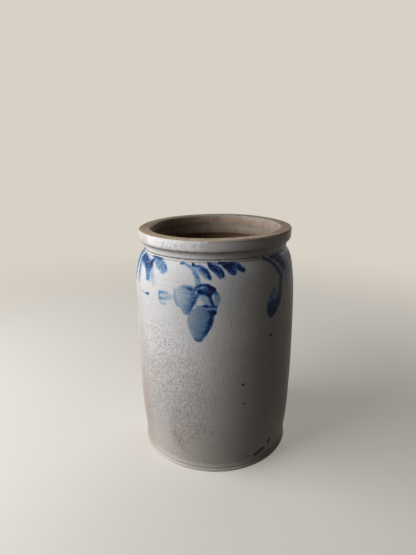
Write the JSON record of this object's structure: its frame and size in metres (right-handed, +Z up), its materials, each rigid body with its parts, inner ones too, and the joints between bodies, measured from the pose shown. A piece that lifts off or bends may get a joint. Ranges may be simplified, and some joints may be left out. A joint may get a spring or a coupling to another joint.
{
  "type": "stoneware fermenting crock",
  "caption": "Open salt-glazed stoneware crock with a squared rim, holding a wooden follower and a pair of half-round weights that keep a ferment under its brine.",
  "frame": {"origin": "middle of the base, on the surface the crock stands on", "axes": "+Z up along the axis the crock was thrown about, -Y towards the viewer of the front, +X to the viewer's right"},
  "size_m": [0.2046, 0.2046, 0.292],
  "materials": {
    "stoneware": "salt glaze, satin with a fine orange-peel pitting",
    "follower_wood": "bare, brine-darkened",
    "peg_wood": "bare end grain",
    "weight_clay": "thin brown slip, satin"
  },
  "bodies": {
    "crock": {"crock": "stoneware"},
    "follower": {"follower_board_left": "follower_wood", "follower_board_middle": "follower_wood", "follower_board_right": "follower_wood", "follower_cleat_front": "follower_wood", "follower_cleat_back": "follower_wood", "follower_peg_front_left": "peg_wood", "follower_peg_front_middle": "peg_wood", "follower_peg_front_right": "peg_wood", "follower_peg_back_left": "peg_wood", "follower_peg_back_middle": "peg_wood", "follower_peg_back_right": "peg_wood"},
    "weight_left": {"weight_left": "weight_clay"},
    "weight_right": {"weight_right": "weight_clay"}
  },
  "joints": [
    {"name": "follower_lift", "type": "slide", "parent": "crock", "child": "follower", "axis": [0, 0, 1], "range_m": [0, 0.3]},
    {"name": "weight_left_lift", "type": "slide", "parent": "follower", "child": "weight_left", "axis": [0, 0, 1], "range_m": [0, 0.27]},
    {"name": "weight_right_lift", "type": "slide", "parent": "follower", "child": "weight_right", "axis": [0, 0, 1], "range_m": [0, 0.27]}
  ]
}
